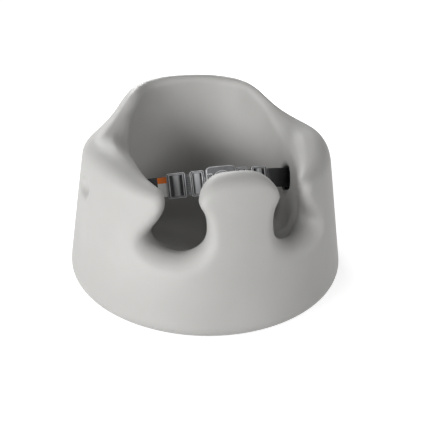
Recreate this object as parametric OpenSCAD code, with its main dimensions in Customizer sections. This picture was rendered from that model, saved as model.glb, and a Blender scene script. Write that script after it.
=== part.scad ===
// Moulded foam floor seat for a baby, with a three-point webbing belt.
// Millimetres. The origin is the centre of the base, +Z is up and the seat faces -Y.

/* [Seat body] */
// Diameter of the round base
base_d = 380; // [350:5:420]
// Radius of the rounded lower edge
base_edge = 12; // [8:1:18]
// Slope of the outer wall at the sides, in degrees from upright
side_lean = 11.3; // [9:0.1:13]
// Slope of the outer wall at the back and the front, in degrees from upright
end_lean = 14.8; // [12:0.1:17]
// Height of the back rest
back_h = 230; // [220:1:245]
// Height of the armrests
arm_h = 180; // [168:1:184]
// Height of the sill under each leg opening
sill_h = 89; // [85:1:94]
// Height of the middle post
post_h = 177; // [166:1:180]
// Height of the seat pan
pan_h = 52; // [46:1:56]
// Radius of the hollow where the pan meets the wall
pan_edge = 20; // [14:1:24]
// Wall thickness at the top of the back rest
back_t = 30; // [26:1:36]
// Wall thickness across the armrests
arm_t = 58; // [54:1:66]
// Wall thickness at the sills and the middle post
post_t = 40; // [34:1:44]

/* [Leg openings] */
// Half width of the post at its neck
neck_w = 41; // [36:1:44]
// Half width of the post at its head
head_w = 52; // [48:1:57]
// Distance from the middle to the far side of a leg opening, along the wall
leg_far = 112; // [108:1:118]
// Distance from the middle to the tip of the armrest, along the wall
arm_tip = 89; // [86:1:94]

/* [Tray recesses] */
// Angle of each tray recess from the middle of the back
scoop_turn = 101; // [96:1:108]
// Height of the middle of each tray recess
scoop_h = 135; // [126:1:144]
// Depth of each tray recess
scoop_depth = 9; // [6:0.5:12]

/* [Belt] */
// Width of the webbing
web_w = 25; // [20:0.5:25]
// Thickness of the webbing
web_t = 1.3; // [1:0.1:1.4]
// Height of the buckle above the base
belt_h = 141; // [136:1:146]
// Distance of the buckle in front of the middle of the seat
belt_y = 68; // [62:1:74]
// Lean of the belt, in degrees from upright
belt_lean = 30; // [26:1:34]

/* [Buckle] */
// Width of the buckle body
buckle_w = 37; // [36:0.5:37]
// Height of the buckle body
buckle_h = 35; // [33:0.5:36]
// Diameter of the release button
button_d = 15; // [13:0.5:15]
// Travel of the release button
button_travel = 2.5; // [1:0.5:3]
// Travel of each tongue out of the buckle
tongue_travel = 14; // [13:0.5:14]
// Travel of each strap adjuster
adjuster_travel = 5; // [2:0.5:6]

/* [Anchors] */
// Distance from the middle of the seat to the crotch strap's slot
crotch_y = 84; // [80:1:86]
// Diameter of each anchor pin
pin_d = 4; // [3:0.5:4.5]

/* [Hidden] */

// The seat body is a ring of sections. Each station is one section, from the middle of the
// back (0 degrees) round to the middle of the post (180 degrees).
wall_r = 160;                       // radius at which distances along the wall are taken
base_r = base_d / 2;
function deg(s) = 180 - s / wall_r * 180 / PI;      // angle at a distance from the post's middle
function arc(a) = a * PI / 180 * wall_r;            // distance along the wall of an angle
leg_mid = (neck_w + leg_far) / 2;                   // middle of a leg opening
function up(f) = arm_h + f * (back_h - arm_h);      // height between the armrest and the back
hole_h = arm_h - sill_h;

// Each station: angle of the crest, height of the crest, wall thickness, distance from the outer
// wall to the crest, depth of the outer and of the inner curve under the crest, angle at the base,
// fullness of the outer curve (1 is round, 0 is a straight slope)
STATIONS = [
    [0, back_h, back_t, 16, 16, 14, 0, 1],
    [14, up(0.99), back_t, 16, 16, 14, 14, 1],
    [27, up(0.955), back_t + 2, 18, 18, 14, 27, 1],
    [38, up(0.915), back_t + 6, 24, 24, 14, 38, 0.8],
    [47, up(0.86), back_t + 12, 31, 34, 14, 47, 0.45],
    [55, up(0.74), back_t + 16, 35, 42, 14, 55, 0.25],
    [61.5, up(0.58), back_t + 18, 36, 42, 14, 61.5, 0.2],
    [67, up(0.43), back_t + 20, 35, 38, 14, 67, 0.2],
    [74, up(0.28), arm_t - 4, 33, 30, 15, 74, 0.3],
    [82, up(0.14), arm_t - 2, 28, 24, 19, 82, 0.6],
    [91, up(0.04), arm_t, 21, 21, 24, 90, 1],
    [102, arm_h - 0.5, arm_t, 18, 20, 26, 99, 1],
    [113, arm_h - 4, arm_t - 4, 18, 20, 23, 106, 1],
    [124, arm_h - 10, arm_t - 12, 17, 18, 19, 111.5, 1],
    [134, arm_h - 16, arm_t - 23, 15, 14, 14, 116.5, 1],
    [deg(arm_tip + 12), arm_h - 21, arm_t - 35, 11, 10, 11, 119.8, 1],
    [deg(arm_tip + 3), arm_h - 28, arm_t - 38, 8, 8, 11, 122.3, 1],
    [deg(arm_tip + 2), arm_h - 39, arm_t - 36, 8, 8, 12, 124.6, 1],
    [deg(arm_tip + 10), sill_h + 0.4 * hole_h, post_t - 12, 10, 10, 14, 127.2, 1],
    [deg(leg_far - 1), sill_h + 0.21 * hole_h, post_t - 6, 14, 13, 15, 130.5, 1],
    [deg(leg_far - 4), sill_h + 0.07 * hole_h, post_t, 19, 16, 15, 136.5, 1],
    [deg(leg_mid + 12), sill_h, post_t, 19, 17, 16, 145, 1],
    [deg(leg_mid - 6), sill_h, post_t, 19, 17, 16, 154, 1],
    [deg(neck_w + 17), sill_h + 4, post_t, 19, 17, 15, 162, 1],
    [deg(neck_w + 4), sill_h + 14, post_t, 19, 15, 14, 168, 1],
    [deg(neck_w), sill_h + 0.33 * hole_h, post_t, 19, 13, 12, 171.6, 1],
    [deg(neck_w + 3), sill_h + 0.52 * hole_h, post_t, 18, 12, 12, 174, 1],
    [deg(head_w - 1), post_h - 30, post_t, 17, 10, 10, 175.6, 1],
    [deg(head_w - 2), post_h - 18, post_t, 17, 10, 10, 176.9, 1],
    [deg(head_w - 12), post_h - 7, post_t, 18, 12, 12, 178, 1],
    [deg(head_w - 28), post_h - 1.5, post_t, 19, 14, 14, 179, 1],
    [180, post_h, post_t, 19, 15, 15, 180, 1]];

RING = concat(STATIONS, [for (i = [len(STATIONS) - 2:-1:1])
    let (s = STATIONS[i]) [360 - s[0], s[1], s[2], s[3], s[4], s[5], 360 - s[6], s[7]]]);
n_ring = len(RING);
steps = 3;                          // sections made between two stations
n_u = n_ring * steps;

// A smooth closed curve through the stations: cubic B-spline with refined control values
FLAT = [for (i = [0:n_ring - 1]) let (s = RING[i], a = 360 * i / n_ring)
    [s[0] - a, s[1], s[2], s[3], s[4], s[5], s[6] - a, s[7]]];
function near(c, i) = c[(i + n_ring) % n_ring];
function refine(c, k) = k == 0 ? c : refine([for (i = [0:n_ring - 1])
    c[i] + FLAT[i] - (near(c, i - 1) + 4 * c[i] + near(c, i + 1)) / 6], k - 1);
CTRL = refine(FLAT, 6);
function curve(u) = let (i = floor(u), t = u - i)
    (pow(1 - t, 3) * near(CTRL, i - 1) + (3 * pow(t, 3) - 6 * t * t + 4) * near(CTRL, i)
    + (-3 * pow(t, 3) + 3 * t * t + 3 * t + 1) * near(CTRL, i + 1) + pow(t, 3) * near(CTRL, i + 2)) / 6;
function station(u) = let (c = curve(u), a = 360 * u / n_ring)
    [c[0] + a, c[1], c[2], c[3], c[4], c[5], c[6] + a, c[7]];
function rim(u) = let (s = station(u)) [arc(s[0]), s[1]];

// outer wall: a cone that leans more at the back and the front than at the sides
function outer_r(a, z) = base_r - max(0, z - base_edge)
    * (tan(side_lean) + (tan(end_lean) - tan(side_lean)) * pow(cos(a), 2));
function turn(s) = s / wall_r * 180 / PI;
// inner foot of the wall, where the pan begins: a round that widens towards each leg opening
leg_turn = 131;                     // angle at which it is widest
leg_reach = 11;                     // how much wider it is there
leg_spread = 9;                     // angle over which it widens
function foot_r(a) = 98 + 16 * pow(sin(a / 2), 6)
    + leg_reach * exp(-pow((180 - leg_turn - abs(180 - a)) / leg_spread, 2));

function bez(p, q, r, s, t) = pow(1 - t, 3) * p + 3 * t * pow(1 - t, 2) * q
    + 3 * t * t * (1 - t) * r + pow(t, 3) * s;
function mixed(straight, round, f) = straight * (1 - f) + round * f;
function spot(a, r, z) = [-r * sin(a), r * cos(a), z];

wall_rows = 8;
roll_rows = 8;
inner_rows = 6;
foot_rows = 3;
function section(u) = let (
        s = station(u),
        p = [arc(s[0]), s[1]],
        d = rim(u + 0.05) - rim(u - 0.05),
        m = [-d[1], d[0]] / norm(d),
        q_out = p - s[4] * m,
        q_in = p - s[5] * m,
        low = [arc(s[6]), base_edge],
        foot = [arc(s[6]), pan_h + pan_edge])
    concat(
        [for (k = [0:3]) let (e = 90 * k / 3)
            spot(s[6], base_r - base_edge * (1 - sin(e)), base_edge * (1 - cos(e)))],
        [for (k = [1:wall_rows]) let (
                c = bez(low, low + [0, 0.97 * (q_out[1] - low[1])], q_out - m, q_out, k / wall_rows))
            spot(turn(c[0]), outer_r(turn(c[0]), c[1]), c[1])],
        [for (k = [1:roll_rows]) let (e = 180 * k / roll_rows, t = e / 90,
                c = k < roll_rows / 2 ? q_out + s[4] * mixed(t, sin(e), s[7]) * m
                    : q_in + s[5] * sin(e) * m,
                w = k < roll_rows / 2 ? s[3] * mixed(t, 1 - cos(e), s[7])
                    : s[3] - (s[2] - s[3]) * cos(e))
            spot(turn(c[0]), outer_r(turn(c[0]), c[1]) - w, c[1])],
        [for (k = [1:inner_rows]) let (t = k / inner_rows,
                c = bez(q_in, q_in - m, foot + [0, 0.8 * max(2, q_in[1] - foot[1])], foot, t),
                a = turn(c[0]), f = t * t * (3 - 2 * t))
            spot(a, (outer_r(a, c[1]) - s[2]) * (1 - f) + foot_r(s[6]) * f, c[1])],
        [for (k = [1:foot_rows]) let (e = 90 * k / foot_rows)
            spot(s[6], foot_r(s[6]) - pan_edge * (1 - cos(e)), foot[1] - pan_edge * sin(e))],
        [spot(s[6], (foot_r(s[6]) - pan_edge) / 2, pan_h - 1)]);

GRID = [for (i = [0:n_u - 1]) section(i / steps)];
n_v = len(GRID[0]);

module seat_blank() {
    points = concat([for (row = GRID) each row], [[0, 0, 0], [0, 0, pan_h - 1.5]]);
    under = n_u * n_v;
    over = under + 1;
    faces = [for (i = [0:n_u - 1]) let (j = (i + 1) % n_u) each concat(
        [[under, i * n_v, j * n_v]],
        [for (k = [0:n_v - 2]) each [
            [i * n_v + k, i * n_v + k + 1, j * n_v + k + 1],
            [i * n_v + k, j * n_v + k + 1, j * n_v + k]]],
        [[i * n_v + n_v - 1, over, j * n_v + n_v - 1]])];
    polyhedron(points, faces, convexity = 8);
}

// Belt. The belt's own frame is centred on the buckle: x runs across, y from front to back and z up
// the webbing's width. On each half, s is the distance outwards and n the distance to the rear.
belt_turn = 15;                     // each half turns back by this much
bend_s = 80;                        // where the strap starts to bend towards the wall
bend_r = 34;
bend_a = 42;
bend_x = bend_s + bend_r * sin(bend_a);
bend_n = bend_r * (1 - cos(bend_a));
pin_t = 53;                         // distances after the bend: the pin, the socket's ends
cup_t0 = 36;
cup_t1 = 60;
cup_w = 15.4;
cup_h = web_w + 6.4;
mouth_s = 12;                       // the pocket's mouth: how far it opens inwards and to the front
mouth_n = 9;
gap = 0.3;                          // running clearance
loop_r = pin_d / 2 + 0.15;

module belt() {
    translate([0, -belt_y, belt_h]) rotate([-belt_lean, 0, 0]) children();
}
module side(s) {
    if (s > 0) belt() rotate([0, 0, belt_turn]) children();
    else mirror([1, 0, 0]) belt() rotate([0, 0, belt_turn]) children();
}
module past_bend() {
    translate([bend_x, bend_n, 0]) rotate([0, 0, bend_a]) children();
}
// a flat outline in the s-n plane, given the webbing's width
module across(w) {
    translate([0, 0, -w / 2]) linear_extrude(w) children();
}
// a flat outline seen from the front, from n0 to n1
module facing(n0, n1) {
    translate([0, n1, 0]) rotate([90, 0, 0]) linear_extrude(n1 - n0) children();
}
module rounded(x0, x1, h, r) {
    translate([x0 + r, -h / 2 + r]) square([x1 - x0 - 2 * r, h - 2 * r]);
    for (x = [x0 + r, x1 - r], y = [-h / 2 + r, h / 2 - r]) translate([x, y]) circle(r, $fn = 24);
    translate([x0, -h / 2 + r]) square([x1 - x0, h - 2 * r]);
    translate([x0 + r, -h / 2]) square([x1 - x0 - 2 * r, h]);
}
module oval(a, b) {
    scale([1, b / a]) circle(a, $fn = 40);
}

module scoop(s) {
    r = outer_r(scoop_turn, scoop_h);
    rotate([0, 0, s * scoop_turn]) translate([0, r + 15 - scoop_depth, scoop_h])
        rotate([14, 0, 0]) scale([23, 15, 14]) sphere(1, $fn = 28);
}

module lap_strap() {
    across(web_w) union() {
        translate([56, -web_t / 2]) square([bend_s - 56, web_t]);
        intersection() {
            translate([bend_s, bend_r]) difference() {
                circle(bend_r + web_t / 2, $fn = 120);
                circle(bend_r - web_t / 2, $fn = 120);
            }
            translate([bend_s, bend_r]) rotate(-90)
                polygon([[0, 0], [60, 0], [60, 60 * tan(bend_a)]]);
        }
        translate([bend_x, bend_n]) rotate(bend_a) {
            translate([0, -web_t / 2]) square([pin_t - loop_r - web_t / 2, web_t]);
            translate([pin_t, 0]) difference() {
                circle(loop_r + web_t, $fn = 48);
                circle(loop_r, $fn = 48);
            }
        }
    }
}

loop_s = 28.8;                      // tongue's middle bar
module tongue_webbing() {
    in_a = 3.5;
    in_b = 1.3;
    across(web_w) union() {
        translate([loop_s, -0.35]) difference() {
            oval(in_a + web_t, in_b + web_t);
            oval(in_a, in_b);
        }
        translate([loop_s + 1.2, in_b - 0.4]) square([62.8 - loop_s, web_t - 0.05]);
    }
}

module tongue() {
    difference() {
        union() {
            facing(-2.6, 0.6) difference() {
                rounded(19.8, 37.5, web_w + 6, 3);
                rounded(23, 34.3, web_w + 0.8, 1.5);
            }
            across(web_w + 2) translate([loop_s, -0.35]) oval(3.2, 1);
            facing(-2.2, 0.2) difference() {
                polygon([[20.5, -8.5], [9, -8.5], [6.5, -5], [6.5, 5], [9, 8.5], [20.5, 8.5]]);
                rounded(9.5, 15, 7, 1.5);
            }
        }
    }
}

fold_s = 54.5;                      // adjuster's middle bar
module adjuster_fold() {
    across(web_w) translate([fold_s, -1.2]) difference() {
        oval(3.9 + web_t, 1.6 + web_t);
        oval(3.9, 1.6);
        translate([-9, 0]) square([18, 9]);
    }
}
module adjuster() {
    n_front = -3.75;
    n_back = 4.2;
    for (z = [-1, 1]) translate([0, 0, z * (web_w / 2 + 1.7)]) facing_rail(n_front, n_back);
    across(web_w + 2) {
        translate([43, n_front]) square([3.6, 2]);
        translate([62.4, n_front]) square([3.6, 2]);
        translate([fold_s - 2, 2.55]) square([4, 1.65]);
        translate([fold_s, -1.3]) difference() {
            oval(3.7, 1.4);
            translate([-9, 0]) square([18, 9]);
        }
    }
}
module facing_rail(n0, n1) {
    across(2.6) polygon([[43, n0], [66, n0], [66, n0 + 2], [61, n1], [48, n1], [43, n0 + 2]]);
}

// buckle: two shells that meet along the tongues' slot
front_line = [[-18.5, -2], [-16.5, -3.2], [-9, -6.2], [-4, -7], [4, -7], [9, -6.2], [16.5, -3.2],
    [18.5, -2]];
back_line = [[18.5, 8.8], [16.5, 9.3], [9, 7.2], [4, 6.5], [-4, 6.5], [-9, 7.2], [-16.5, 9.3],
    [-18.5, 8.8]];
part_line = [[18.5, 3.92], [6, 0.57], [-6, 0.57], [-18.5, 3.92]];
function moved(line, x, y) = [for (p = line) [p[0] * x, p[1] + y]];
bx = buckle_w / 37;
module outline() {
    facing(-20, 20) rounded(-buckle_w / 2, buckle_w / 2, buckle_h, 5);
}
module slots() {
    for (m = [0, 1]) mirror([m, 0, 0]) rotate([0, 0, belt_turn])
        translate([5.2, -2.6, -9.2]) cube([18, 3.2, 18.4]);
}
module upright(d, y0, y1) {
    translate([0, y1, 0]) rotate([90, 0, 0]) cylinder(d = d, h = y1 - y0, $fn = 48);
}
module buckle_front() {
    color("#3d3e40") belt() difference() {
        union() {
            intersection() {
                across(buckle_h) polygon(concat(moved(front_line, bx, 0), moved(part_line, bx, -0.05)));
                outline();
            }
            for (m = [-1, 1], i = [0:2]) translate([m * (13 + 1.9 * i), -4.75 + 0.82 * i, -9])
                cylinder(d = 1.5, h = 18, $fn = 16);
        }
        slots();
        upright(button_d + 2.6, -5.5, 3);
        upright(button_d + 0.4, -9, 3);
    }
}
module buckle_back() {
    color("#3d3e40") belt() {
        difference() {
            intersection() {
                across(buckle_h) polygon(concat(moved(back_line, bx, 0),
                    moved([for (i = [3:-1:0]) part_line[i]], bx, 0.05)));
                outline();
            }
            slots();
            upright(7.4, 0, 5);
        }
        upright(2.6, 2.2, 5.5);
        for (m = [-1, 1]) translate([m * (web_w / 2 + 1.6) - 1.2, 3.4, -buckle_h / 2 - 6.5]) {
            cube([2.4, 2.4, 10]);
            translate([0, -2.2, 0]) cube([2.4, 2.4, 6.2]);
        }
        translate([-web_w / 2 - 1, 3.2, -21.4]) rotate([0, 90, 0])
            cylinder(d = 3.6, h = web_w + 2, $fn = 32);
    }
}
module release_button() {
    color("#4b4c4f") belt() {
        upright(button_d, -8.2, -4.4);
        upright(button_d + 2, -5.4, -4.4);
        for (d = [5, 9, 13]) difference() {
            upright(d, -8.6, -8);
            upright(d - 1.2, -9, -7);
        }
        difference() {
            upright(4.2, -4.5, -3.2);
            upright(2.9, -4.5, -3);
        }
    }
}
module button_spring() {
    turns = 5;
    rings = 8 * turns;
    y0 = -4.3;
    y1 = 4.8;
    r = 2.7;
    w = 0.35;
    rows = [for (i = [0:rings]) let (a = 360 * i / 8, y = y0 + w + (y1 - y0 - 2 * w) * i / rings)
        [for (k = [0:5]) let (b = 60 * k) [(r + w * cos(b)) * cos(a), y + w * sin(b), (r + w * cos(b)) * sin(a)]]];
    color("#9a9ca0") belt() polyhedron([for (row = rows) each row], concat(
        [[0, 1, 2, 3, 4, 5]], [[for (k = [5:-1:0]) rings * 6 + k]],
        [for (i = [0:rings - 1], k = [0:5]) let (a = i * 6 + k, b = i * 6 + (k + 1) % 6)
            each [[b + 6, b, a], [a + 6, b + 6, a]]]), convexity = 6);
}

module band(points, t) {
    for (i = [0:len(points) - 2]) let (p = points[i], q = points[i + 1], d = q - p) {
        translate(p) rotate(atan2(d[1], d[0])) translate([0, -t / 2]) square([norm(d), t]);
        if (i > 0) translate(p) circle(d = t, $fn = 24);
    }
}
bar_at = [-belt_y + 3.2 * cos(belt_lean) - 21.4 * sin(belt_lean),
    belt_h - 3.2 * sin(belt_lean) - 21.4 * cos(belt_lean)];
module crotch_strap() {
    foot = [-crotch_y, pan_h + 6];
    dir = (foot - bar_at) / norm(foot - bar_at);
    color("#4c4d50") rotate([90, 0, 90]) translate([0, 0, -web_w / 2]) linear_extrude(web_w) {
        translate(bar_at) difference() {
            circle(2 + web_t, $fn = 40);
            circle(2, $fn = 40);
        }
        band([bar_at + dir * (2 + web_t / 2), foot, [-crotch_y, 3]], 2 * web_t);
        translate([-crotch_y - 5, 1.9]) square([10, 2.7]);
    }
}
plate_w = 42;
plate_d = 25;
plate_t = 3;
plate_z = 4.9;                      // height of the plate in its recess, and the room round it
plate_room = 2.5;
module crotch_anchor_plate() {
    color("#3d3e40") translate([0, -crotch_y, plate_z]) linear_extrude(plate_t) difference() {
        rounded(-plate_w / 2, plate_w / 2, plate_d, 3);
        rounded(-web_w / 2 - 0.6, web_w / 2 + 0.6, 3.6, 0.8);
    }
}
module strap_label() {
    color("#e98a3c") side(-1) facing(-web_t / 2 - 0.4, -web_t / 2) rounded(65, 78, web_w - 1, 0.6);
}
module anchor_socket() {
    past_bend() difference() {
        across(cup_h) translate([cup_t0, -cup_w / 2]) square([cup_t1 - cup_t0, cup_w]);
        across(cup_h - 4) translate([cup_t0 - 1, -cup_w / 2 + 2]) square([cup_t1 - cup_t0 - 1, cup_w - 4]);
        translate([pin_t, 0, -cup_h]) cylinder(d = pin_d + 0.1, h = 2 * cup_h, $fn = 32);
    }
}
module anchor_pin() {
    past_bend() translate([pin_t, 0, -cup_h / 2]) cylinder(d = pin_d, h = cup_h, $fn = 32);
}

module seat_body() {
    color("#b9b7b4") difference() {
        seat_blank();
        for (s = [-1, 1]) {
            scoop(s);
            side(s) past_bend() across(cup_h + 0.6)
                polygon([[-mouth_s, -mouth_n], [cup_t0, -cup_w / 2 - gap], [cup_t1 + gap, -cup_w / 2 - gap],
                    [cup_t1 + gap, cup_w / 2 + gap], [-mouth_s, cup_w / 2 + gap]]);
        }
        translate([0, -crotch_y, -1]) linear_extrude(1 + plate_z + plate_t + 0.1)
            rounded(-plate_w / 2 - plate_room, plate_w / 2 + plate_room, plate_d + 2 * plate_room, 4);
        translate([0, -crotch_y, 0]) linear_extrude(pan_h + 10) rounded(-web_w / 2 - 2, web_w / 2 + 2, 6, 2);
    }
}
module left_lap_strap() { color("#4c4d50") side(-1) lap_strap(); }
module right_lap_strap() { color("#4c4d50") side(1) lap_strap(); }
module left_tongue_webbing() { color("#4c4d50") side(-1) tongue_webbing(); }
module right_tongue_webbing() { color("#4c4d50") side(1) tongue_webbing(); }
module left_tongue() { color("#3d3e40") side(-1) tongue(); }
module right_tongue() { color("#3d3e40") side(1) tongue(); }
module left_adjuster() { color("#3d3e40") side(-1) adjuster(); }
module right_adjuster() { color("#3d3e40") side(1) adjuster(); }
module left_adjuster_fold() { color("#4c4d50") side(-1) adjuster_fold(); }
module right_adjuster_fold() { color("#4c4d50") side(1) adjuster_fold(); }
module left_anchor_socket() { color("#2f3032") side(-1) anchor_socket(); }
module right_anchor_socket() { color("#2f3032") side(1) anchor_socket(); }
module left_anchor_pin() { color("#a8aaad") side(-1) anchor_pin(); }
module right_anchor_pin() { color("#a8aaad") side(1) anchor_pin(); }

seat_body();
left_lap_strap();
right_lap_strap();
left_tongue_webbing();
right_tongue_webbing();
left_tongue();
right_tongue();
left_adjuster();
right_adjuster();
left_adjuster_fold();
right_adjuster_fold();
buckle_front();
buckle_back();
release_button();
button_spring();
crotch_strap();
crotch_anchor_plate();
strap_label();
left_anchor_socket();
right_anchor_socket();
left_anchor_pin();
right_anchor_pin();
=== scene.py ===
# %% [markdown]
# # A moulded foam floor seat, dressed for its picture
#
# The solids of this seat were built in CAD, so their sizes and places are already right. This file
# puts Blender's half on top: the soft skin of the foam, the weave and the stitching of the belt, the
# satin of the buckle, and the light. Everything is in metres, and the seat faces -Y.

# %% Load the CAD model as a fixed frame
import math

import bpy
from mathutils import Matrix, Vector


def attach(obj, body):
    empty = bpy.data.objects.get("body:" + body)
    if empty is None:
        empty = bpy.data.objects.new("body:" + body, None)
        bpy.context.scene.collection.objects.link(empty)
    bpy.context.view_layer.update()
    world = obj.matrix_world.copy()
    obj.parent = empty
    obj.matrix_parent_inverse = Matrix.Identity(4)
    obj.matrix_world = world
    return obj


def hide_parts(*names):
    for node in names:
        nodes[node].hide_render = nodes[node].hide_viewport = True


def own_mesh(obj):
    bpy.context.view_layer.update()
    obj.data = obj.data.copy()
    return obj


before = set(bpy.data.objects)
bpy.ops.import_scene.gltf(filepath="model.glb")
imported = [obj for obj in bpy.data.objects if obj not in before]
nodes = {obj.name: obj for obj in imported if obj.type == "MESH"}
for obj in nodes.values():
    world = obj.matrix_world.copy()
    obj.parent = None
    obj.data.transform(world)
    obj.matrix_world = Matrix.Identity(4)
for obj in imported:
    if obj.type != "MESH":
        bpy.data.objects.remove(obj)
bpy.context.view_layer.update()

# %% [markdown]
# ## The camera
#
# The photograph was taken from a little to the left of the front, looking down by about 28 degrees,
# and from so near that the back of the rim looks smaller than the front. A camera is easiest to
# place by the direction it looks along. Its three axes are the columns of its matrix, so they are
# worked out from the two angles and a slight roll, and the lens follows from the frame's height.

# %% Camera
TURN, RISE, ROLL = math.radians(15.622), math.radians(28.335), math.radians(-1.399)
towards_camera = Vector((
    -math.sin(TURN) * math.cos(RISE),
    -math.cos(TURN) * math.cos(RISE),
    math.sin(RISE)))
level = Vector((math.cos(TURN), -math.sin(TURN), 0))
upright = towards_camera.cross(level)
cam_x = level * math.cos(ROLL) - upright * math.sin(ROLL)
cam_y = level * math.sin(ROLL) + upright * math.cos(ROLL)
DISTANCE, SHIFT_RIGHT, SHIFT_DOWN = 0.65, 0.00667, 0.029095
aim = Vector((0, 0, 0.09)) + level * SHIFT_RIGHT - upright * SHIFT_DOWN
place = aim + towards_camera * DISTANCE
bpy.ops.object.camera_add(location=place)
camera = bpy.context.object
camera.name = "photo_camera"
camera.matrix_world = Matrix((
    (cam_x.x, cam_y.x, towards_camera.x, place.x),
    (cam_x.y, cam_y.y, towards_camera.y, place.y),
    (cam_x.z, cam_y.z, towards_camera.z, place.z),
    (0, 0, 0, 1)))
SENSOR, LENS_IN_PIXELS, LONG_SIDE = 36, 468.465, 432
camera.data.sensor_width = SENSOR
camera.data.lens = LENS_IN_PIXELS / LONG_SIDE * SENSOR
camera.data.clip_start = 0.01
bpy.context.scene.camera = camera
print("camera lens:", round(camera.data.lens, 2), "mm")

# %% [markdown]
# ## Shader maths as plain Python
#
# A procedural material is mostly arithmetic, and arithmetic is easier to read as `a * b + c` than as
# a web of boxes. `Field` wraps one socket of a node tree. Its operators add the Math nodes for you,
# and every other kind of node comes from the single method `Tree.node`.

# %% A small language for shaders
class Field:
    def __init__(self, tree, socket):
        self.tree, self.socket = tree, socket

    def math(self, operation, *others):
        values = {i + 1: v for i, v in enumerate(others)}
        return self.tree.node("ShaderNodeMath", {"operation": operation}, {0: self, **values})

    def __add__(self, other):
        return self.math("ADD", other)

    def __sub__(self, other):
        return self.math("SUBTRACT", other)

    def __mul__(self, other):
        return self.math("MULTIPLY", other)

    def __rsub__(self, other):
        return (self * -1) + other

    def sine(self):
        return self.math("SINE")

    def size(self):
        return self.math("ABSOLUTE")

    def between(self, low, high):
        return self.tree.node("ShaderNodeMapRange", {"interpolation_type": "SMOOTHSTEP"},
            {"Value": self, "From Min": low, "From Max": high})


class Tree:
    def __init__(self, material):
        self.material = material
        self.tree = material.node_tree
        self.shader = self.tree.nodes.get("Principled BSDF") or self.tree.nodes["Background"]

    def node(self, kind, settings=None, values=None, out=0):
        made = self.tree.nodes.new(kind)
        for key, value in (settings or {}).items():
            setattr(made, key, value)
        for key, value in (values or {}).items():
            if isinstance(value, Field):
                self.tree.links.new(value.socket, made.inputs[key])
            else:
                made.inputs[key].default_value = value
        return Field(self, made.outputs[out])

    def spot(self, name="Object"):
        return self.node("ShaderNodeTexCoord", out=name)

    def noise(self, place, scale, detail=2.0, rough=0.5):
        return self.node("ShaderNodeTexNoise", None,
            {"Vector": place, "Scale": scale, "Detail": detail, "Roughness": rough})

    def axes(self, place):
        return [self.node("ShaderNodeSeparateXYZ", None, {0: place}, out=i) for i in range(3)]

    def length(self, vector):
        return self.node("ShaderNodeVectorMath", {"operation": "LENGTH"}, {0: vector}, out="Value")

    def seen(self):
        """1 where the camera looks, straight or by way of a reflection or glass, and 0 for light."""
        ray = self.node("ShaderNodeLightPath", out="Is Camera Ray")
        for kind in ("Is Glossy Ray", "Is Transmission Ray"):
            ray = ray.math("MAXIMUM", self.node("ShaderNodeLightPath", out=kind))
        return ray

    def mix(self, factor, first, second):
        return self.node("ShaderNodeMix", {"data_type": "RGBA"},
            {"Factor": factor, "A": first, "B": second}, out=2)

    def bump(self, height, distance, strength=1.0):
        return self.node("ShaderNodeBump", None,
            {"Strength": strength, "Distance": distance, "Height": height})

    def feed(self, **inputs):
        for name, value in inputs.items():
            socket = self.shader.inputs[name.replace("_", " ")]
            if isinstance(value, Field):
                self.tree.links.new(value.socket, socket)
            else:
                socket.default_value = value


def new_material(name):
    material = bpy.data.materials.new(name)
    material.use_nodes = True
    return Tree(material)


def rgb(red, green, blue):
    """A colour as the eye reads it off a screen, 0 to 255, turned to Blender's linear values."""
    return (*[((c / 255 + 0.055) / 1.055) ** 2.4 for c in (red, green, blue)], 1)


print("shader helpers ready")

# %% [markdown]
# ## Small helpers for modelling
#
# Operators act on whatever is selected, so each piece starts by deselecting everything. A piece is
# finished by applying its modifiers, so that the mesh itself holds the shape.

# %% Modelling helpers
def alone(piece):
    bpy.ops.object.select_all(action="DESELECT")
    piece.select_set(True)
    bpy.context.view_layer.objects.active = piece


def modify(piece, kind, **settings):
    alone(piece)
    modifier = piece.modifiers.new(kind.lower(), kind)
    for key, value in settings.items():
        setattr(modifier, key, value)
    bpy.ops.object.modifier_apply(modifier=modifier.name)


def copy_of(node, name):
    """A separate, merged copy of a CAD node's mesh, ready to be worked on."""
    bpy.ops.object.select_all(action="DESELECT")
    piece = nodes[node].copy()
    piece.data = nodes[node].data.copy()
    piece.name = name
    piece.parent = None
    piece.matrix_world = Matrix.Identity(4)
    bpy.context.collection.objects.link(piece)
    alone(piece)
    bpy.ops.object.mode_set(mode="EDIT")
    bpy.ops.mesh.select_all(action="SELECT")
    bpy.ops.mesh.remove_doubles(threshold=0.00001)
    bpy.ops.object.mode_set(mode="OBJECT")
    return piece


def dress(piece, *trees):
    piece.data.materials.clear()
    for tree in trees:
        piece.data.materials.append(tree.material)


# %% [markdown]
# ## Foam
#
# The seat is taken to be polyurethane foam with a closed skin of its own: matt, with a wide soft
# sheen, a fine orange peel and faint cloudy patches. Three sizes of noise give those: clouds in the
# colour, a slow swell in the surface, and a fine grain in the bump and the roughness. Round each
# strap pocket and in the bowl the foam's colour is darkened. This is painted shade, where the pocket
# hollows and the deep bowl lie in shade. How much of that is shade and how much is colour can't be
# told from it. Both are soft balls of tone, measured from a point in the room.

# %% Foam material
POCKET_X, POCKET_Y, POCKET_Z = 0.101, -0.033, 0.120
BOWL_Y, BOWL_Z = -0.02, 0.06
foam = new_material("moulded_foam")


def soft_ball(x, y, z, inner, outer):
    """1 near a point and 0 far from it, where x, y and z are the distances from that point."""
    offset = foam.node("ShaderNodeCombineXYZ", None, {0: x, 1: y, 2: z})
    return 1 - foam.length(offset).between(inner, outer)


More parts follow.
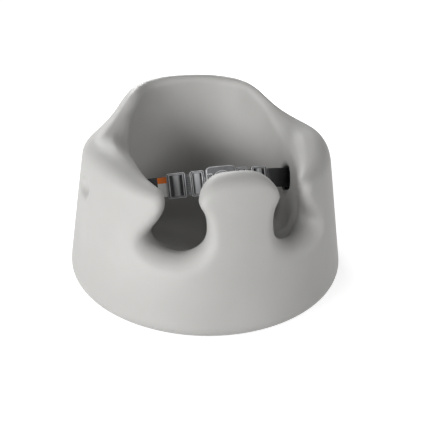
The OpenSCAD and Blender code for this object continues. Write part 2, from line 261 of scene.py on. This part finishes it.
at = foam.spot()
clouds = foam.noise(at, 9, 3, 0.55)
grain = foam.noise(at, 900, 2, 0.6)
swell = foam.noise(at, 60, 2, 0.5)
pores = foam.noise(at, 2600, 1, 0.5).between(0.62, 0.72)
tone = foam.mix(clouds.between(0.3, 0.7), rgb(168, 167, 165), rgb(174, 173, 171))
tone = foam.mix(grain * 0.10, tone, rgb(146, 145, 142))
across_seat, deep, tall = foam.axes(at)
# Painted shade round each strap pocket, where its hollow lies in shade.
painted_pocket_shade = soft_ball(across_seat.size() - POCKET_X, deep - POCKET_Y, tall - POCKET_Z,
    0.012, 0.027)
tone = foam.mix(painted_pocket_shade * 0.9, tone, rgb(52, 51, 49))
# Painted shade in the bowl: darker towards the deep inside of the seat.
painted_bowl_shade = soft_ball(across_seat, deep - BOWL_Y, (tall - BOWL_Z) * 1.5, 0.09, 0.15)
tone = foam.mix(painted_bowl_shade * 0.45, tone, rgb(120, 119, 117))
foam.feed(Base_Color=tone, Roughness=grain * 0.10 + clouds * 0.06 + 0.46,
    Normal=foam.bump(grain * 0.5 + swell * 2.2 - pores * 0.2, 0.00022, 0.55))
foam.feed(IOR=1.42, Sheen_Weight=0.08, Sheen_Roughness=0.5)
print("foam material ready")

# %% [markdown]
# ## The seat body
#
# The CAD solid is a loft of flat triangles. To turn it into skin, a copy of it is rebuilt by the
# Remesh modifier as an even grid of quads 2.6 mm wide, and the Smooth modifier then relaxes the
# grid, so the facets melt away and the cut edges of the strap pockets get the soft roundness that
# foam edges have.

# %% Seat body
seat = copy_of("seat_body", "seat_foam")
modify(seat, "REMESH", mode="VOXEL", voxel_size=0.0026, use_smooth_shade=True)
modify(seat, "SMOOTH", factor=0.5, iterations=6)
dress(seat, foam)
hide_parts("seat_body")
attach(seat, "seat")
print("seat body faces:", len(seat.data.polygons))

# %% [markdown]
# ## Where the belt lies
#
# The belt has its own frame. On each half, `s` is the distance outwards from the buckle, `n` the
# distance to the rear and `w` the height across the webbing. This function turns those into metres
# in the room, for the left half (side -1) or the right half (side 1). Lengths along the belt are in
# millimetres.

# %% The belt's own frame
LEAN, SPREAD = math.radians(-30), math.radians(15)
BUCKLE_Y, BUCKLE_Z = -68, 141
SLIDER_S, TONGUE_BAR_S = 54.5, 28.8
to_room = Matrix.Translation((0, BUCKLE_Y / 1000, BUCKLE_Z / 1000)) @ Matrix.Rotation(LEAN, 4, "X")


def on_belt(side, s, n, w):
    x = s * math.cos(SPREAD) - n * math.sin(SPREAD)
    y = s * math.sin(SPREAD) + n * math.cos(SPREAD)
    return to_room @ Vector((side * x / 1000, y / 1000, w / 1000))


print("buckle sits at", [round(v, 3) for v in on_belt(1, 0, 0, 0)])

# %% [markdown]
# ## Webbing
#
# Belt webbing is woven flat: fine ribs run across it in a twill, and each edge has a narrow denser
# selvedge. The pattern has to follow the strap round its bends, so it is drawn on the strap's own UV
# map, in which one unit is one millimetre along and across. Light and shade are painted into the
# cloth: painted shade, nearly black, inside a slider and towards its pocket, and a painted
# highlight, pale, where it turns round a bar. An attribute called shade, which the strap helper
# writes from a rule for each strap, carries that painted light: 1 is painted shade, nearly black,
# and -1 is a painted highlight, pale.

# %% Webbing material
WEB_WIDTH = 25.0
webbing = new_material("belt_webbing")
along, across, _ = webbing.axes(webbing.spot("UV"))
RIB_PITCH, TWILL_PITCH, THREAD_PITCH = 1.15, 3.1, 0.75
twill = (across * (2 * math.pi / TWILL_PITCH)).sine() * 1.3
rows = (along * (2 * math.pi / RIB_PITCH) + twill).sine() * 0.5 + 0.5
threads = (across * (2 * math.pi / THREAD_PITCH)).sine() * 0.5 + 0.5
selvedge = (across - WEB_WIDTH / 2).size().between(9.9, 10.3)
weave = rows * 0.65 + threads * 0.35
fuzz = webbing.noise(webbing.spot(), 1400, 2, 0.6)
patches = webbing.noise(webbing.spot(), 55, 3, 0.6)
cloth = webbing.mix(weave, rgb(82, 83, 85), rgb(128, 129, 131))
cloth = webbing.mix(selvedge * 0.5, cloth, rgb(140, 141, 143))
cloth = webbing.mix(patches * 0.25, cloth, rgb(124, 125, 127))
shade = webbing.node("ShaderNodeAttribute", {"attribute_name": "shade"}, out="Fac")
# Painted light on the cloth: a painted highlight where shade is below 0, and painted shade where it
# is above 0.
cloth = webbing.mix(shade * -0.8, cloth, rgb(168, 169, 171))
cloth = webbing.mix(shade * 0.95, cloth, rgb(14, 14, 16))
webbing.feed(Base_Color=cloth, Roughness=fuzz * 0.15 + 0.46,
    Normal=webbing.bump(weave * 0.8 + fuzz * 0.25, 0.00022, 0.9))
webbing.feed(Sheen_Weight=0.08, Sheen_Roughness=0.4)
print("webbing material ready")

# %% [markdown]
# ## How a strap is made
#
# A strap is a long grid laid along a path. The grid is added flat, each of its rows is moved to its
# place on the path, and Solidify and Bevel turn the sheet into webbing 1.3 mm thick with soft edges.
# The UV map is written at the same time, because only here is the length along the path known.

# %% Strap helper
def smooth_path(points, step):
    """Even points along a polyline, so that the weave keeps its size round bends."""
    path, left = [points[0]], step
    for (s0, n0), (s1, n1) in zip(points, points[1:]):
        run = math.hypot(s1 - s0, n1 - n0)
        while left < run:
            path.append((s0 + (s1 - s0) * left / run, n0 + (n1 - n0) * left / run))
            left += step
        left -= run
    return path


def strap(name, points, to_place, shade=None, width=WEB_WIDTH, step=1.2, thickness=0.0013):
    """A strap along a path of (s, n), or what pair `to_place` takes, with `shade` on its cloth."""
    rows = 8
    path = smooth_path(points, step)
    count = len(path) - 1
    bpy.ops.object.select_all(action="DESELECT")
    bpy.ops.mesh.primitive_grid_add(x_subdivisions=count, y_subdivisions=rows, size=1)
    piece = bpy.context.object
    piece.name = name
    run = [0]
    for (s0, n0), (s1, n1) in zip(path, path[1:]):
        run.append(run[-1] + math.hypot(s1 - s0, n1 - n0))
    cells = [(round((v.co.x + 0.5) * count), round((v.co.y + 0.5) * rows))
        for v in piece.data.vertices]
    for v, (i, j) in zip(piece.data.vertices, cells):
        v.co = to_place(*path[i], (j / rows - 0.5) * width)
    # The shade attribute holds painted light: painted shade above 0 and a painted highlight below 0.
    if shade:
        dark = piece.data.attributes.new("shade", "FLOAT", "POINT").data
        for v, (i, j) in zip(dark, cells):
            v.value = min(1, max(-1, shade(*path[i], (j / rows - 0.5) * width)))
    uv = piece.data.uv_layers.active.data
    for loop in piece.data.loops:
        i, j = cells[loop.vertex_index]
        uv[loop.index].uv = (run[i], j / rows * width)
    alone(piece)
    modify(piece, "SOLIDIFY", thickness=thickness, offset=0)
    bpy.ops.object.mode_set(mode="EDIT")
    bpy.ops.mesh.select_all(action="SELECT")
    bpy.ops.mesh.normals_make_consistent(inside=False)
    bpy.ops.object.mode_set(mode="OBJECT")
    modify(piece, "BEVEL", width=0.0004, segments=2, limit_method="ANGLE",
        angle_limit=math.radians(50))
    bpy.ops.object.shade_smooth_by_angle(angle=math.radians(40))
    dress(piece, webbing)
    return piece


def arc_points(centre, radii, first, last, count):
    return [(centre[0] + radii[0] * math.cos(math.radians(first + (last - first) * i / count)),
        centre[1] + radii[1] * math.sin(math.radians(first + (last - first) * i / count)))
        for i in range(count + 1)]


print("strap helper ready")

# %% [markdown]
# ## The lap straps
#
# Each lap strap leaves its slider, bends back towards the wall and dives into its pocket, where it
# is looped round a pin. The path is the CAD solid's own: a straight, a bend of 34 mm radius and a
# straight, and then a turn round the pin.

# %% Lap straps
BEND_S, BEND_R, BEND = 80.0, 34.0, 42.0
SLIDER_END, POCKET_SHADE = 65, 70
bend_end = (BEND_S + BEND_R * math.sin(math.radians(BEND)),
    BEND_R * (1 - math.cos(math.radians(BEND))))


def past_bend(t, n):
    a = math.radians(BEND)
    return (bend_end[0] + t * math.cos(a) - n * math.sin(a),
        bend_end[1] + t * math.sin(a) + n * math.cos(a))


lap_path = [(56, 0), (BEND_S, 0)]
lap_path += arc_points((BEND_S, BEND_R), (BEND_R, BEND_R), -90, -90 + BEND, 16)
lap_path += [past_bend(40, 0), past_bend(47, 0.6)]
lap_path += [past_bend(t, n) for t, n in arc_points((53, 0), (2.85, 2.85), 125, -165, 30)]


def lap_shade(s, n, w):
    """Painted shade: dark under the slider, plain beside it, and dark again towards the pocket."""
    return max(0, (SLIDER_END - s) / 2, (s + w * 0.16 - POCKET_SHADE) / 4)


for side, word in ((-1, "left"), (1, "right")):
    place_it = lambda s, n, w, side=side: on_belt(side, s, n, w)
    lap = strap(word + "_lap_webbing", lap_path, place_it, lap_shade)
    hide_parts(word + "_lap_strap")
    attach(lap, "seat")
    print(lap.name, "faces:", len(lap.data.polygons))

# %% [markdown]
# ## The webbing on the tongues and the sliders
#
# A belt is one length of webbing, but it turns round several bars. The loop on the tongue's bar and
# the fold over the slider's bar are pieces of their own here, because each has to travel with its
# own buckle part.

# %% Tongue loops and slider folds
loop_path = [(64, 1.55), (31, 1.58)]
loop_path += arc_points((TONGUE_BAR_S, -0.35), (4.15, 1.93), 90, 385, 40)
fold_path = arc_points((SLIDER_S, -1.2), (4.4, 3.0), 185, 355, 24)


def loop_shade(s, n, w):
    """Painted highlight on the front of the bar, painted shade beside it and under the slider."""
    if n < 0.9:
        return abs(s - TONGUE_BAR_S) / 0.9 - 3.6
    return max(0, (s - 44) / 2, 33.5 - s)


def fold_shade(s, n, w):
    """Painted highlight on the middle of the roll and painted shade at its two sides."""
    return abs(s - SLIDER_S) / 1.1 - 2.9


for side, word in ((-1, "left"), (1, "right")):
    place_it = lambda s, n, w, side=side: on_belt(side, s, n, w)
    loop = strap(word + "_tongue_loop", loop_path, place_it, loop_shade, step=0.8)
    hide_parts(word + "_tongue_webbing")
    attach(loop, word + "_tongue_unit")
    fold = strap(word + "_slider_fold", fold_path, place_it, fold_shade, step=0.6)
    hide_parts(word + "_adjuster_fold")
    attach(fold, word + "_adjuster_unit")
print("loops and folds made")

# %% [markdown]
# ## The crotch strap
#
# A third strap hangs from the buckle's lower bar, passes through a slot in the seat pan and ends in
# a flat hem under an anchor plate, which lies in a recess of the base. It is a doubled length of
# webbing.

# %% Crotch strap
CROTCH_Y, STRAP_BEND_Z, STRAP_END_Z = -84, 58, 3.2
BAR_BEHIND, BAR_BELOW, HALF_GAP = 3.2, 21.4, 0.68
bar_y = BUCKLE_Y + BAR_BEHIND * math.cos(LEAN) + BAR_BELOW * math.sin(LEAN)
bar_z = BUCKLE_Z + BAR_BEHIND * math.sin(LEAN) - BAR_BELOW * math.cos(LEAN)
down = Vector((CROTCH_Y - bar_y, STRAP_BEND_Z - bar_z)).normalized()


def hang(y, z, w):
    """A place on the crotch strap, which stands in the seat's middle plane."""
    return Vector((w / 1000, y / 1000, z / 1000))


ring = math.degrees(math.atan2(down.y, down.x))
front_y, rear_y = CROTCH_Y - HALF_GAP, CROTCH_Y + HALF_GAP
crotch_path = [(front_y, STRAP_END_Z), (front_y, STRAP_BEND_Z)]
crotch_path += [(bar_y + down.x * 4 - 0.7, bar_z + down.y * 4)]
crotch_path += arc_points((bar_y, bar_z), (2.68, 2.68), ring - 25, ring - 335, 36)
crotch_path += [(rear_y, STRAP_BEND_Z), (rear_y, STRAP_END_Z)]
crotch = strap("crotch_webbing", crotch_path, hang, step=1.6)
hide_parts("crotch_strap")
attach(crotch, "seat")
hem = strap("crotch_hem", [(CROTCH_Y - 5, STRAP_END_Z), (CROTCH_Y + 5, STRAP_END_Z)], hang)
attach(hem, "seat")
print("crotch strap faces:", len(crotch.data.polygons))

# %% [markdown]
# ## Stitches
#
# Each tongue's loop is sewn shut with a box and a cross. One stitch is a short thread, a stretched
# icosphere of 20 faces that is shaded smooth, and rows of copies follow the strap.

# %% Thread
thread = new_material("sewing_thread")
twist = thread.noise(thread.spot(), 2200, 1, 0.5)
thread.feed(Base_Color=thread.mix(twist, rgb(120, 121, 123), rgb(176, 177, 179)),
    Roughness=twist * 0.2 + 0.55)
pale_thread = new_material("pale_thread")
twist = pale_thread.noise(pale_thread.spot(), 2200, 1, 0.5)
pale_thread.feed(Base_Color=pale_thread.mix(twist, rgb(196, 190, 182), rgb(226, 222, 214)),
    Roughness=twist * 0.2 + 0.6)


def stitch_row(name, pairs, material, body, thick=0.24):
    """One piece made of many stitches. Each pair is a stitch's two ends in the room."""
    made = []
    bpy.ops.object.select_all(action="DESELECT")
    bpy.ops.mesh.primitive_ico_sphere_add(subdivisions=1, radius=1)
    first = bpy.context.object
    for a, b in pairs:
        one = first.copy()
        one.data = first.data.copy()
        bpy.context.collection.objects.link(one)
        run = b - a
        turn = run.to_track_quat("X", "Z").to_matrix().to_4x4()
        size = Matrix.Diagonal((run.length / 2, thick / 1000, thick / 1000, 1))
        one.data.transform(Matrix.Translation((a + b) / 2) @ turn @ size)
        made.append(one)
    bpy.data.objects.remove(first)
    bpy.ops.object.select_all(action="DESELECT")
    for one in made:
        one.select_set(True)
    bpy.context.view_layer.objects.active = made[0]
    bpy.ops.object.join()
    row = bpy.context.object
    row.name = name
    bpy.ops.object.shade_smooth()
    dress(row, material)
    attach(row, body)


def stitches(start, end, pitch=2.6, length=1.9):
    """Pairs of ends from (s, w) to (s, w), evenly spaced."""
    run = math.hypot(end[0] - start[0], end[1] - start[1])
    count = max(1, round(run / pitch))
    pairs = []
    for i in range(count):
        f0, f1 = (i + 0.5) / count - length / run / 2, (i + 0.5) / count + length / run / 2
        pairs.append([(start[0] + (end[0] - start[0]) * f, start[1] + (end[1] - start[1]) * f)
            for f in (f0, f1)])
    return pairs


NEAR, FAR, HALF = 38.6, 42.2, 10.6
box_seam = [((NEAR, -HALF), (NEAR, HALF)), ((FAR, -HALF), (FAR, HALF)),
    ((NEAR, -HALF), (FAR, HALF)), ((NEAR, HALF), (FAR, -HALF))]
for side, word in ((-1, "left"), (1, "right")):
    for face, n in (("front", 0.9), ("rear", 2.24)):
        pairs = [[on_belt(side, s, n, w) for s, w in pair]
            for ends in box_seam for pair in stitches(*ends)]
        stitch_row(word + "_tongue_seam_" + face, pairs, thread, word + "_tongue_unit")
print("tongue seams sewn")

# %% [markdown]
# ## The sewn label
#
# One strap carries a small label beside its slider, white below and orange along its top edge. It is
# a thin piece of woven tape, sewn down along its two ends. It is left blank.

# %% Label
label_tape = new_material("label_tape")
u, v, _ = label_tape.axes(label_tape.spot("UV"))
weft = ((v * (2 * math.pi / 0.42)).sine() * 0.5 + 0.5) * 0.6
weft = weft + ((u * (2 * math.pi / 0.5)).sine() * 0.5 + 0.5) * 0.4
orange = v.between(16.4, 16.8)
plain = label_tape.mix(weft * 0.5, rgb(226, 226, 223), rgb(244, 244, 241))
bright = label_tape.mix(weft * 0.6, rgb(242, 116, 30), rgb(252, 148, 58))
label_tape.feed(Base_Color=label_tape.mix(orange, plain, bright),
    Roughness=weft * 0.15 + 0.55, Normal=label_tape.bump(weft, 0.00006, 0.6))
LABEL_START, LABEL_END, LABEL_N, SEAM_N = 65, 78, -0.86, -1.08
label = strap("sewn_label", [(LABEL_START, LABEL_N), (LABEL_END, LABEL_N)],
    lambda s, n, w: on_belt(-1, s, n, w), width=24, step=0.6, thickness=0.0004)
dress(label, label_tape)
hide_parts("strap_label")
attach(label, "seat")
edge_seam = [((s, -11), (s, 11)) for s in (LABEL_START + 1, LABEL_END - 1)]
pairs = [[on_belt(-1, s, SEAM_N, w) for s, w in pair]
    for ends in edge_seam for pair in stitches(*ends, 2.2, 1.5)]
stitch_row("label_seam", pairs, pale_thread, "seat", thick=0.12)
print("label sewn on")

# %% [markdown]
# ## Moulded plastic
#
# The sliders, the tongues and the buckle are dark grey plastic with a satin face and a fine grain.
# Their raised edges carry a painted highlight: a paler and smoother plastic is a second material,
# which the Bevel modifier gives to the rounds that it makes.

# %% Plastic material
def moulded_plastic(name, deep, pale, gloss=0.30):
    plastic = new_material(name)
    at = plastic.spot()
    grain = plastic.noise(at, 1500, 2, 0.6)
    patch = plastic.noise(at, 120, 3, 0.55)
    face = plastic.mix(patch.between(0.35, 0.7), deep, pale)
    plastic.feed(Base_Color=face, Roughness=grain * 0.14 + patch * 0.12 + gloss,
        Normal=plastic.bump(grain, 0.00006, 0.5))
    plastic.feed(IOR=1.5)
    return plastic


hardware = moulded_plastic("slider_plastic", rgb(60, 61, 63), rgb(70, 71, 73))
shell = moulded_plastic("buckle_plastic", rgb(78, 79, 81), rgb(88, 89, 91))
# A painted highlight: the pale plastic of the rounded edges and of the rings round the button.
painted_edge_highlight = moulded_plastic("painted_edge_highlight", rgb(172, 173, 175), rgb(196, 197, 199), gloss=0.2)
button_face = moulded_plastic("button_plastic", rgb(88, 89, 92), rgb(98, 99, 102))
socket_face = moulded_plastic("socket_plastic", rgb(30, 30, 32), rgb(36, 36, 38))
steel = new_material("plain_steel")
brushed = steel.noise(steel.spot(), 700, 2, 0.5)
steel.feed(Base_Color=steel.mix(brushed, rgb(150, 151, 153), rgb(176, 177, 179)),
    Roughness=brushed * 0.2 + 0.25)
steel.feed(Metallic=1.0)
print("plastics ready")

# %% [markdown]
# ## Hardware with soft edges
#
# The edges of the CAD parts are knife sharp, and sharp edges catch no light. A copy of each part is
# cleaned of the triangles inside its flat faces, and the Bevel modifier then puts a small round on
# the edges that turn by more than 30 degrees: on all of them, or, for a tongue or a slider, only on
# those of its flat front. The sliders' corners are rounder than that, so each slider is first cut
# down to a block with round corners by the Boolean modifier.

# %% Hardware pieces
def finished_part(node, name, trees, body, width, mould=None, face=None, clamp=True):
    """A CAD node with its sharp edges rounded: all of them, or those whose ends pass `face`."""
    piece = copy_of(node, name)
    dress(piece, *trees)
    if mould:
        modify(piece, "BOOLEAN", operation="INTERSECT", object=mould, solver="EXACT")
        bpy.data.objects.remove(mould)
        alone(piece)
    bpy.ops.object.mode_set(mode="EDIT")
    bpy.ops.mesh.select_all(action="SELECT")
    bpy.ops.mesh.dissolve_limited(angle_limit=math.radians(2))
    if face:
        middle = sum((v.co for v in piece.data.vertices), Vector()) / len(piece.data.vertices)
        for normal in (to_room.col[0], to_room.col[2]):
            bpy.ops.mesh.select_all(action="SELECT")
            bpy.ops.mesh.bisect(plane_co=middle, plane_no=normal.to_3d())
    bpy.ops.mesh.select_all(action="DESELECT")
    bpy.ops.mesh.select_mode(type="EDGE")
    bpy.ops.mesh.edges_select_sharp(sharpness=math.radians(30))
    bpy.ops.object.mode_set(mode="OBJECT")
    weights = piece.data.attributes.new("bevel_weight_edge", "FLOAT", "EDGE").data
    for edge, weight in zip(piece.data.edges, weights):
        ends = [piece.data.vertices[v].co for v in edge.vertices]
        weight.value = edge.select and (not face or all(face(end) for end in ends))
    modify(piece, "BEVEL", width=width, segments=3, limit_method="WEIGHT",
        use_clamp_overlap=clamp and not face, miter_outer="MITER_ARC", material=len(trees) - 1)
    modify(piece, "TRIANGULATE")
    alone(piece)
    bpy.ops.object.shade_smooth_by_angle(angle=math.radians(32))
    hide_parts(node)
    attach(piece, body)


def slider_mould(side):
    """A block as wide and tall as a slider, with round corners, which the slider is cut down to."""
    bpy.ops.object.select_all(action="DESELECT")
    bpy.ops.mesh.primitive_cube_add(size=1)
    block = bpy.context.object
    block.data.transform(Matrix.Diagonal((0.02302, 0.012, 0.03102, 1)))
    for edge in block.data.edges:
        a, b = (block.data.vertices[v].co for v in edge.vertices)
        edge.select = abs(a.y - b.y) > 0.001
    bpy.ops.object.mode_set(mode="EDIT")
    bpy.ops.mesh.select_mode(type="EDGE")
    bpy.ops.mesh.bevel(offset=0.003, segments=5, affect="EDGES")
    bpy.ops.object.mode_set(mode="OBJECT")
    turn = to_room.to_3x3().to_4x4() @ Matrix.Rotation(side * SPREAD, 4, "Z")
    block.data.transform(Matrix.Translation(on_belt(side, SLIDER_S, 0, 0)) @ turn)
    return block


def on_front(side, depth):
    """A test for points on the flat front of a slider or tongue, `depth` mm before the webbing."""
    def test(point):
        x, y, w = to_room.inverted() @ point * 1000
        return abs(y * math.cos(SPREAD) - side * x * math.sin(SPREAD) + depth) < 0.02
    return test


WIDE, ROUND, SOCKET_ROUND, PIN_ROUND, BUTTON_ROUND = 0.0008, 0.0006, 0.0005, 0.0003, 0.00025
TONGUE_FRONT, SLIDER_FRONT = 2.6, 3.75
# Each pair is a part's own plastic and the painted edge highlight for its rounds.
hardware_and_highlight, shell_and_highlight = (hardware, painted_edge_highlight), (shell, painted_edge_highlight)
for side, word in ((-1, "left"), (1, "right")):
    finished_part(word + "_tongue", word + "_tongue_part", hardware_and_highlight, word + "_tongue_unit",
        WIDE, None, on_front(side, TONGUE_FRONT))
    finished_part(word + "_adjuster", word + "_slider_part", hardware_and_highlight, word + "_adjuster_unit",
        WIDE, slider_mould(side), on_front(side, SLIDER_FRONT))
    finished_part(word + "_anchor_socket", word + "_socket_part", [socket_face], "seat",
        SOCKET_ROUND)
    finished_part(word + "_anchor_pin", word + "_pin_part", [steel], "seat", PIN_ROUND)
finished_part("buckle_front", "buckle_front_shell", shell_and_highlight, "seat", WIDE,
    clamp=False)
finished_part("buckle_back", "buckle_back_shell", shell_and_highlight, "seat", ROUND)
finished_part("release_button", "release_button_cap", (button_face, painted_edge_highlight), "button",
    BUTTON_ROUND)
finished_part("crotch_anchor_plate", "crotch_plate", hardware_and_highlight, "seat", ROUND)
print("hardware finished")

# %% [markdown]
# ## The spring
#
# Behind the button sits a coil of steel wire. It is hidden, and it shortens when the button is
# pressed. Its copy is rounded by one level of subdivision and given a mesh of its own.

# %% Button spring
coil = copy_of("button_spring", "button_coil")
modify(coil, "SUBSURF", levels=1, render_levels=1)
bpy.ops.object.shade_smooth()
dress(coil, steel)
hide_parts("button_spring")
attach(coil, "seat")
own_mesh(coil)
print("spring faces:", len(coil.data.polygons))

# %% [markdown]
# ## Rings round the button
#
# The buckle's face has two raised rings round the button. Each starts as a torus standing in the
# belt's plane, and its points are then pushed back by as much as the shell falls away there.

# %% Buckle rings
FLAT, KNEE, KNEE_DROP = 4, 9, 0.8
RING_FRONT, RING_WIRE = 7.1, 0.5


def shell_front(s):
    """How far the shell's front has fallen back at a distance from its middle, in millimetres."""
    s = abs(s)
    return max(0, s - FLAT) * 0.16 if s < KNEE else KNEE_DROP + (s - KNEE) * 0.4


for number, radius in enumerate((9.8, 11.7), 1):
    bpy.ops.object.select_all(action="DESELECT")
    bpy.ops.mesh.primitive_torus_add(major_radius=radius, minor_radius=RING_WIRE,
        major_segments=72, minor_segments=8)
    ring_piece = bpy.context.object
    ring_piece.name = "buckle_ring_%d" % number
    for v in ring_piece.data.vertices:
        x, w, n = v.co
        v.co = to_room @ (Vector((x, shell_front(x) - RING_FRONT - n, w)) / 1000)
    bpy.ops.object.mode_set(mode="EDIT")
    bpy.ops.mesh.select_all(action="SELECT")
    bpy.ops.mesh.normals_make_consistent(inside=False)
    bpy.ops.object.mode_set(mode="OBJECT")
    bpy.ops.object.shade_smooth()
    # The rings are given the painted edge highlight as their whole colour.
    dress(ring_piece, painted_edge_highlight)
    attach(ring_piece, "seat")
print("rings on the buckle")

# %% [markdown]
# ## Floor, background and light
#
# The product stands on white. The white comes from the floor's and the world's own brightness as the
# camera sees them, through Light Path, and not from more light on the foam. Near the seat the floor
# keeps some of its shading, so that the seat's shadow grounds it, and far away it is plain white.

# %% Floor
bpy.ops.object.select_all(action="DESELECT")
bpy.ops.mesh.primitive_plane_add(size=12, location=(0, 0, -0.0004))
floor = bpy.context.object
floor.name = "floor"
ground = new_material("pale_floor")
away = ground.length(ground.spot())
ground.feed(Base_Color=(0.6, 0.6, 0.6, 1), Roughness=0.9, Specular_IOR_Level=0.1)
ground.feed(Emission_Color=(1, 1, 1, 1),
    Emission_Strength=ground.seen() * (away.between(0.3, 0.9) * 0.3 + 0.7))
dress(floor, ground)
print("floor laid")

# %% [markdown]
# ## Light
#
# Every strong lamp is a large softbox that stands low. Light from low down reaches the outer walls,
# the inside of the back and the rims, but the armrests and the post keep it out of the bottom of the
# seat, so the leg openings stay dark, as in the photograph. The key light stands on the left, and a
# lower one between it and the front lights the wall and the post. A third lifts the rims from
# behind, and a weaker one opens the shaded right side. A faint one, high in front, reaches over the
# post and lets the belt and the bowl be read. Left and right are as seen from the front, here and
# in the names of the pieces.

# %% World and lamps
AMBIENT = 0.03
BOX_WIDTH, BOX_HEIGHT, BOX_DISTANCE = 0.9, 0.4, 1.5
MIDDLE_OF_SEAT = Vector((0, 0, 0.12))
world = bpy.data.worlds.new("studio")
bpy.context.scene.world = world
world.use_nodes = True
sky = Tree(world)
sky.feed(Color=(1, 1, 1, 1), Strength=sky.seen() * (1 - AMBIENT) + AMBIENT)


def softbox(name, azimuth, rise, power):
    """A lamp at an azimuth round the seat (0 is the front, -90 the left) and a rise, in degrees."""
    turn, lift = math.radians(azimuth), math.radians(rise)
    away = Vector((
        math.sin(turn) * math.cos(lift), -math.cos(turn) * math.cos(lift), math.sin(lift)))
    bpy.ops.object.light_add(type="AREA", location=MIDDLE_OF_SEAT + away * BOX_DISTANCE)
    lamp = bpy.context.object
    lamp.name = name
    lamp.data.shape = "RECTANGLE"
    lamp.data.size, lamp.data.size_y = BOX_WIDTH, BOX_HEIGHT
    lamp.data.energy = power
    lamp.rotation_euler = away.to_track_quat("Z", "Y").to_euler()


softbox("key_light", -70, 22, 12)
softbox("low_light", -45, 8, 13.4)
softbox("rim_light", 180, 22, 17.3)
softbox("side_fill", 60, 22, 6.7)
softbox("front_fill", 0, 40, 2.1)
bpy.context.scene.view_settings.view_transform = "Standard"
print("studio lit")
